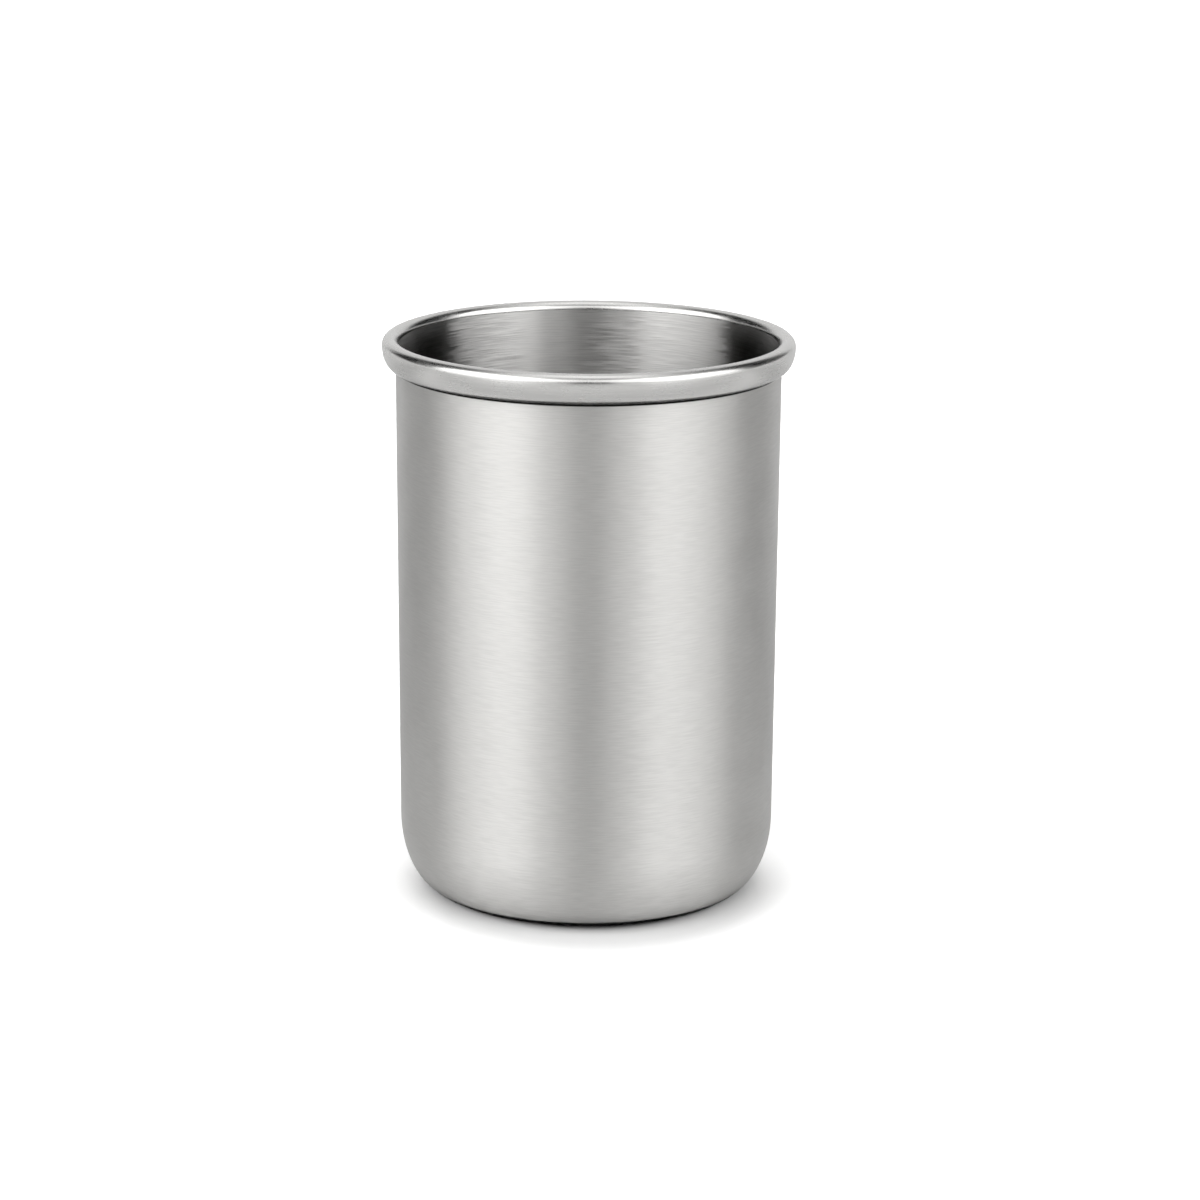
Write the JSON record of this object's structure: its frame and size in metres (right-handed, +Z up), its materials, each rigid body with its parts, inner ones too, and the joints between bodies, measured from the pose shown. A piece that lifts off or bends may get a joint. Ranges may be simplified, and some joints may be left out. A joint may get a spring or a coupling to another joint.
{
  "type": "tumbler",
  "caption": "Straight-sided drinking tumbler drawn from brushed stainless sheet, with a rounded base corner and a rim rolled outwards into a wired bead.",
  "frame": {"origin": "on the cup's axis, at the level of the flat ring that the cup stands on", "axes": "+Z up along the cup's axis, from the standing ring to the open rim; the cup is turned, so X and Y are free"},
  "size_m": [0.075, 0.075, 0.103],
  "materials": {
    "brushed_shell": "stainless steel, finely brushed round the axis outside and inside, with a smoother satin rim",
    "drawn_wire": "stainless steel wire as drawn, dull"
  },
  "bodies": {
    "root": {"cup_shell": "brushed_shell", "rim_wire": "drawn_wire"}
  },
  "joints": []
}
